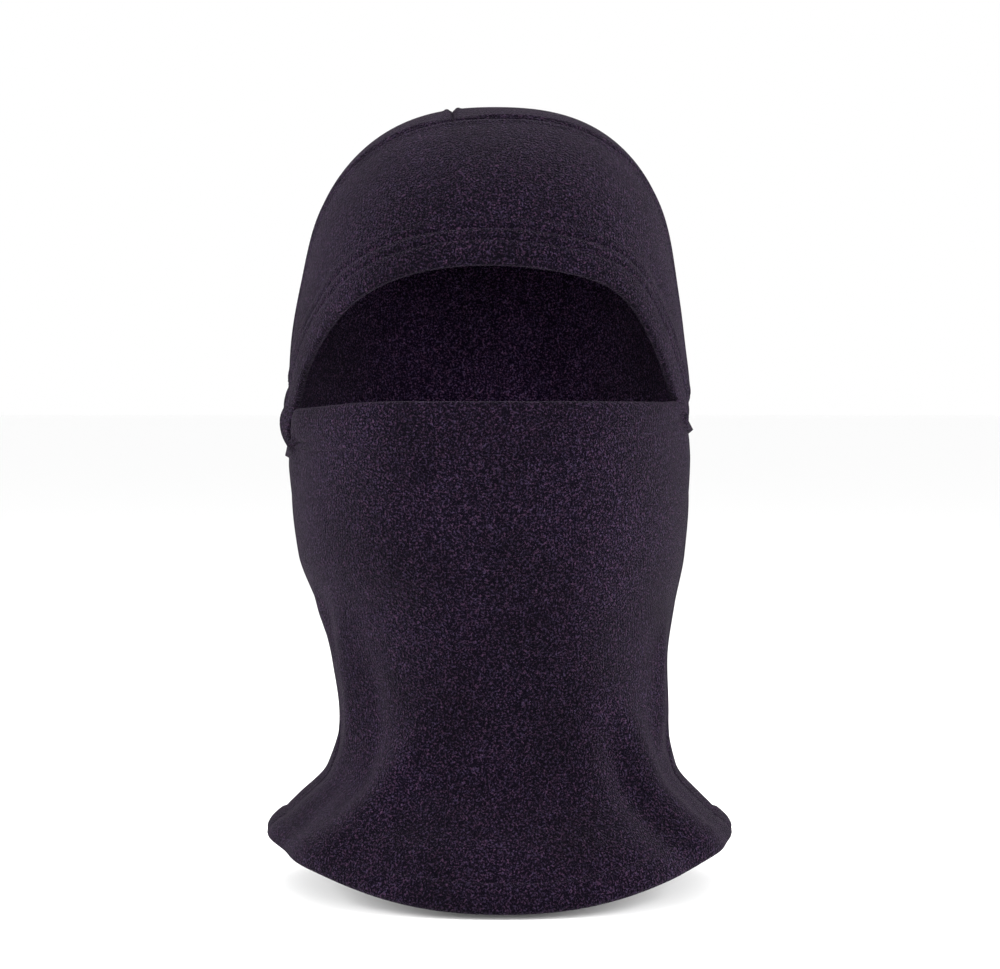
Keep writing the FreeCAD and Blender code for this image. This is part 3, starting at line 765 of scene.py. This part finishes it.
def sewn_threads(name, lines, spacing, length, width=THREAD_WIDTH, turn=0.0):
    """A plain mesh of threads laid along lines, each its points and the way out from the cloth."""
    mesh = bpy.data.meshes.new(name)
    points = np.concatenate([line for line, _ in lines]) * MM
    out = np.concatenate([way for _, way in lines])
    edges, start = [], 0
    for line, _ in lines:
        edges += [(start + k, start + k + 1) for k in range(len(line) - 1)]
        start += len(line)
    mesh.from_pydata(points.tolist(), edges, [])
    ways_out = mesh.attributes.new("out", "FLOAT_VECTOR", "POINT")
    ways_out.data.foreach_set("vector", out.astype(np.float32).ravel())
    guide = bpy.data.objects.new(name + "_guide", mesh)
    bpy.context.scene.collection.objects.link(guide)
    modifier = guide.modifiers.new("threads", "NODES")
    modifier.node_group = laid_threads
    values = {"Spacing": spacing * MM, "Stitch length": length * MM, "Thread width": width * MM, "Turn": turn,
              "Thread": plum_thread}
    for item in laid_threads.interface.items_tree:
        if item.in_out == "INPUT" and item.name in values:
            modifier[item.identifier] = values[item.name]
    evaluated = guide.evaluated_get(bpy.context.evaluated_depsgraph_get())
    laid = bpy.data.meshes.new_from_object(evaluated)
    laid.name = name
    guide.modifiers.remove(modifier)
    bpy.data.objects.remove(guide)
    piece = bpy.data.objects.new(name, laid)
    bpy.context.scene.collection.objects.link(piece)
    return piece


def overlock(name, form, node):
    """Looped thread over both cut edges of a side seam."""
    inward = -facing_out(form)
    lines = [(form[row] + inward[row] * OVERLOCK_DEPTH, inward[row]) for row in (1, -2)]
    piece = sewn_threads(name, lines, spacing=2.2, length=4.2, width=0.5, turn=math.radians(66))
    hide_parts(node)
    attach(piece, "hood")


overlock("left_overlock_thread", left_edge, "left_overlock")
overlock("right_overlock_thread", right_edge, "right_overlock")

# ---- Stitching -------------------------------------------------------------------------------
# Rows of matching thread, pulled down into the nap: two round the brow, two across the mask, one
# round the lower edge, one on each side of the seams over the crown and down the back, and a short
# dense bar across the seam at each corner of the mask.

STITCH_SPACING = 3.0
STITCH_LENGTH = 2.5
THREAD_SUNK = 0.35


def row_on(middle, distance, at, columns=slice(None)):
    """A line across a panel's columns where a distance has the given value, on the outer face."""
    outside = middle + facing_out(middle) * (FABRIC / 2 - THREAD_SUNK)
    out = facing_out(middle)
    line, way = [], []
    for column in range(middle.shape[1])[columns]:
        known = distance[:, column]
        order = np.argsort(known)
        if known.min() > at or known.max() < at:
            continue
        line.append([np.interp(at, known[order], outside[order, column, k]) for k in range(3)])
        way.append([np.interp(at, known[order], out[order, column, k]) for k in range(3)])
    return np.array(line), np.array(way)


def turned_grid(middle, distance):
    """The same grid with its columns as rows, for a row of stitches that runs down the panel."""
    return np.swapaxes(middle, 0, 1)[:, ::-1], distance.T[:, ::-1]


brow_rows = [row_on(brow_middle, from_edge, at, slice(14, -14)) for at in (BROW_HEM, BROW_HEM - BROW_ROW_GAP)]
brow_threads = sewn_threads("brow_stitching", brow_rows, STITCH_SPACING, STITCH_LENGTH)
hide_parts("brow_upper_stitches", "brow_lower_stitches")
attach(brow_threads, "hood")

mask_rows = [row_on(front_middle, front_down, at, slice(5, -5)) for at in (MASK_HEM, MASK_HEM - MASK_ROW_GAP)]
mask_threads = sewn_threads("mask_stitching", mask_rows, STITCH_SPACING, STITCH_LENGTH)
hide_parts("mask_upper_stitches", "mask_lower_stitches")
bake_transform(mask_threads)

front_hem_row = row_on(front_middle, front_from_bottom, BOTTOM_HEM, slice(3, -3))
front_hem_threads = sewn_threads("front_hem_stitching", [front_hem_row], STITCH_SPACING, STITCH_LENGTH)
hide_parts("front_hem_stitches")
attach(front_hem_threads, "hood")

back_hem_rows = [row_on(middle, distance, BOTTOM_HEM, slice(3, -3)) for middle, distance in (
    (left_middle, left_from_bottom), (right_middle, right_from_bottom))]
back_hem_threads = sewn_threads("back_hem_stitching", back_hem_rows, STITCH_SPACING, STITCH_LENGTH)
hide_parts("back_hem_stitches")
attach(back_hem_threads, "hood")

crown_rows = [row_on(brow_middle, from_seam, COVER_ROW, slice(14, -14))]
for middle, distance in ((left_middle, left_from_side), (right_middle, right_from_side)):
    crown_rows.append(row_on(*turned_grid(middle[:CROWN_ROWS], distance[:CROWN_ROWS]), COVER_ROW))
crown_threads = sewn_threads("crown_seam_stitching", crown_rows, STITCH_SPACING, STITCH_LENGTH)
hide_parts("crown_stitches")
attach(crown_threads, "hood")

back_rows = [row_on(*turned_grid(middle[:-9], distance[:-9]), COVER_ROW) for middle, distance in (
    (left_middle, left_from_back), (right_middle, right_from_back))]
back_threads = sewn_threads("back_seam_stitching", back_rows, STITCH_SPACING, STITCH_LENGTH)
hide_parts("back_stitches")
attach(back_threads, "hood")

TACK_HEIGHT = 12
TACK_WIDTH = 6
TACK_BEHIND_SEAM = 4.5


def bar_tack(name, middle, distance, node):
    """A dense bar of short threads just behind the top of a side seam."""
    line, way = row_on(*turned_grid(middle, distance), TACK_BEHIND_SEAM)
    near = np.abs(line[:, 2] - HINGE.z / MM) < TACK_HEIGHT / 2
    piece = sewn_threads(name, [(line[near] - way[near] * 0.1, way[near])], 0.8, TACK_WIDTH, 0.7,
                         math.radians(84))
    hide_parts(node)
    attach(piece, "hood")


bar_tack("left_corner_tack", left_middle, left_from_side, "left_bar_tack")
bar_tack("right_corner_tack", right_middle, right_from_side, "right_bar_tack")

# ---- Labels ----------------------------------------------------------------------------------
# Two blank woven satin labels inside: one at the back of the neck, and a longer one beside the
# side seam.

LABEL_DEPTH = 4.9
LABEL_THICKNESS = 0.5


def satin(name, colour):
    """Woven satin tape: fine ribs across it, and a soft gloss."""
    material = bpy.data.materials.new(name)
    material.use_nodes = True
    nodes, links = material.node_tree.nodes, material.node_tree.links
    shader = nodes["Principled BSDF"]
    flat = nodes.new("ShaderNodeUVMap")
    flat.uv_map = "cloth"
    ribs = nodes.new("ShaderNodeTexWave")
    ribs.bands_direction = "Y"
    ribs.inputs["Scale"].default_value = 500
    ribs.inputs["Distortion"].default_value = 1
    links.new(flat.outputs["UV"], ribs.inputs["Vector"])
    tone = nodes.new("ShaderNodeMix")
    tone.data_type = "RGBA"
    tone.inputs["A"].default_value = (*(channel * 0.8 for channel in colour), 1)
    tone.inputs["B"].default_value = (*colour, 1)
    links.new(ribs.outputs["Fac"], tone.inputs["Factor"])
    links.new(tone.outputs["Result"], shader.inputs["Base Color"])
    bump = nodes.new("ShaderNodeBump")
    bump.inputs["Strength"].default_value = 0.3
    bump.inputs["Distance"].default_value = 0.0002
    links.new(ribs.outputs["Fac"], bump.inputs["Height"])
    links.new(bump.outputs["Normal"], shader.inputs["Normal"])
    shader.inputs["Roughness"].default_value = 0.45
    shader.inputs["Sheen Weight"].default_value = 0.2
    return material


grey_satin = satin("grey_satin", (0.28, 0.27, 0.29))


def label(name, turn, top, width, height, node):
    """A flat label against the inside of the fleece, centred at a turn round the neck."""
    rows, columns = 12, 15
    level = np.linspace(top, top - height, rows)[:, None] * np.ones(columns)
    beside = abs(math.sin(turn)) > 0.5
    reach_out = float(np.mean(outline_at(np.array([top - height / 2]))[0 if beside else 2]))
    around = turn - np.linspace(-0.5, 0.5, columns) * width / reach_out
    form = on_form(np.stack(np.broadcast_arrays(90 * np.sin(around), -90 * np.cos(around), level), axis=-1))
    if (facing_out(form) * (form - (0, 0, top))).sum() < 0:
        form = form[:, ::-1]
    piece = cloth(name, form - facing_out(form) * LABEL_DEPTH, grey_satin, LABEL_THICKNESS)
    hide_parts(node)
    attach(piece, "hood")


label("neck_label_satin", math.pi, -250, 30, 14, "neck_label")
label("care_label_satin", -math.pi / 2 - 0.1, -262, 25, 40, "care_label")

# ---- Studio ----------------------------------------------------------------------------------
# A plain white floor and background, with wide soft lights in front, at the sides and above.

visual_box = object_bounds()
floor_height = visual_box[0].z
floor_mesh = bpy.data.meshes.new("floor")
corners = [(x * 60, y * 60, floor_height) for x, y in ((-1, -1), (1, -1), (1, 1), (-1, 1))]
floor_mesh.from_pydata(corners, [], [(0, 1, 2, 3)])
floor = bpy.data.objects.new("floor", floor_mesh)
bpy.context.scene.collection.objects.link(floor)
white_paper = bpy.data.materials.new("white_paper")
white_paper.use_nodes = True
white_paper.node_tree.nodes["Principled BSDF"].inputs["Base Color"].default_value = (0.97, 0.97, 0.97, 1)
white_paper.node_tree.nodes["Principled BSDF"].inputs["Roughness"].default_value = 1.0
floor_mesh.materials.append(white_paper)

CAMERA_DISTANCE = 1.5
CAMERA_HEIGHT = -0.138
PICTURE_WIDTH = 0.4726
PICTURE_CENTRE_BELOW = 0.0381
camera_data = bpy.data.cameras.new("camera")
camera_data.lens = camera_data.sensor_width * CAMERA_DISTANCE / PICTURE_WIDTH
camera_data.shift_y = -PICTURE_CENTRE_BELOW / PICTURE_WIDTH
camera = bpy.data.objects.new("camera", camera_data)
camera.location = (0.0057, -CAMERA_DISTANCE, CAMERA_HEIGHT)
camera.rotation_euler = (math.radians(90), 0, 0)
bpy.context.scene.collection.objects.link(camera)
bpy.context.scene.camera = camera


def soft_light(name, place, size, power):
    """A rectangular softbox aimed at the middle of the hood."""
    data = bpy.data.lights.new(name, "AREA")
    data.shape = "RECTANGLE"
    data.size, data.size_y = size
    data.energy = power
    light = bpy.data.objects.new(name, data)
    light.location = place
    light.rotation_euler = (Vector((0, 0, -0.15)) - Vector(place)).to_track_quat("-Z", "Y").to_euler()
    bpy.context.scene.collection.objects.link(light)


soft_light("front_softbox", (0.2, -2.3, 0.25), (1.4, 1.0), 36)
soft_light("left_softbox", (-1.8, -0.35, 0.2), (0.9, 1.6), 70)
soft_light("right_softbox", (1.8, -0.35, 0.2), (0.9, 1.6), 70)
soft_light("top_softbox", (0, 0, 1.7), (1.6, 1.6), 4)
world = bpy.data.worlds.new("studio")
world.use_nodes = True
world.node_tree.nodes["Background"].inputs["Color"].default_value = (1, 1, 1, 1)
world.node_tree.nodes["Background"].inputs["Strength"].default_value = 1.0
bpy.context.scene.world = world
bpy.context.scene.view_settings.view_transform = "Standard"
